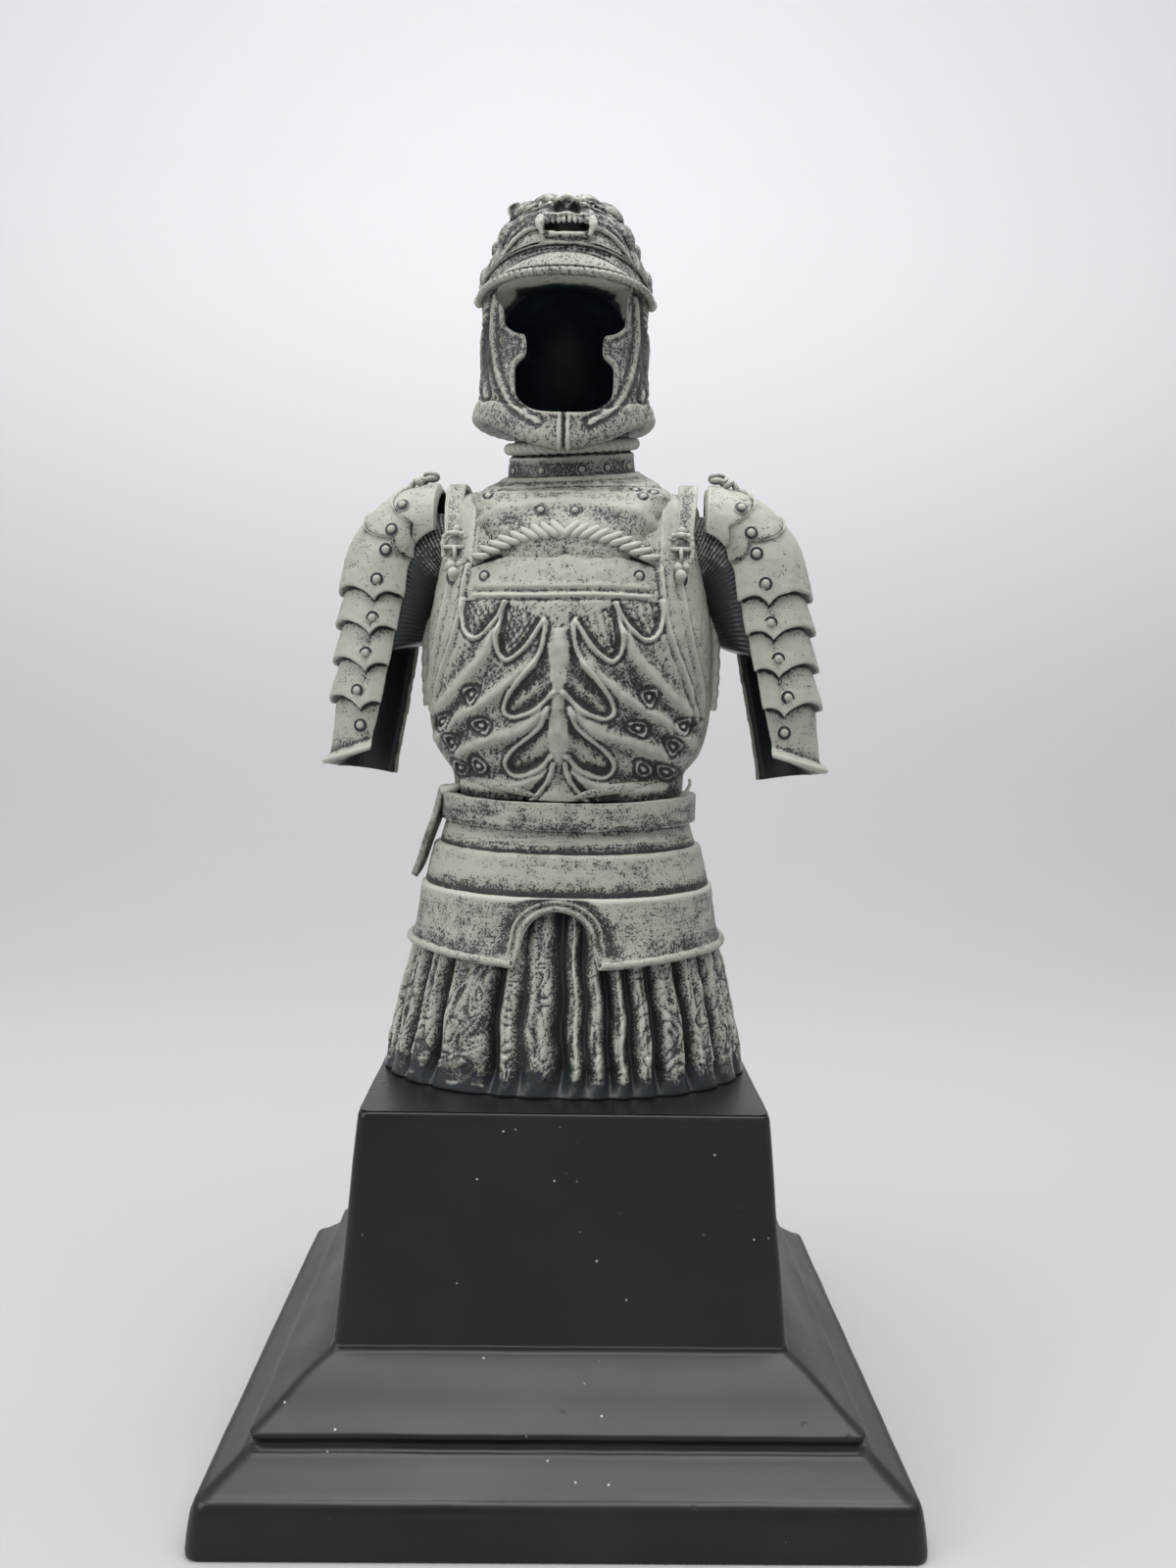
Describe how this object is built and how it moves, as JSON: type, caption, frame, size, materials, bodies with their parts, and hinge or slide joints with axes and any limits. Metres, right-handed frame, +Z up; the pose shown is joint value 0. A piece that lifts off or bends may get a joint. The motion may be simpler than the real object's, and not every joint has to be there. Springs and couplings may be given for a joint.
{
  "type": "armoured bust ornament",
  "caption": "Cast ornament of an empty suit of parade armour to the hips, with helmet, arm guards and pleated skirt, on a square moulded plinth.",
  "frame": {"origin": "centre of the plinth's underside", "axes": "+Z up, -Y the front that the armour faces, +X to the right as seen from the front"},
  "size_m": [0.1502, 0.1502, 0.2917],
  "materials": {
    "antique_silver": "cast resin painted antique silver-grey with a black wash in its recesses, dry-brushed ridges and blackened hollows",
    "black_paint": "cast resin painted satin black, with small casting pits and pale dust specks"
  },
  "bodies": {
    "root": {"bust": "antique_silver", "plinth": "black_paint"}
  },
  "joints": []
}
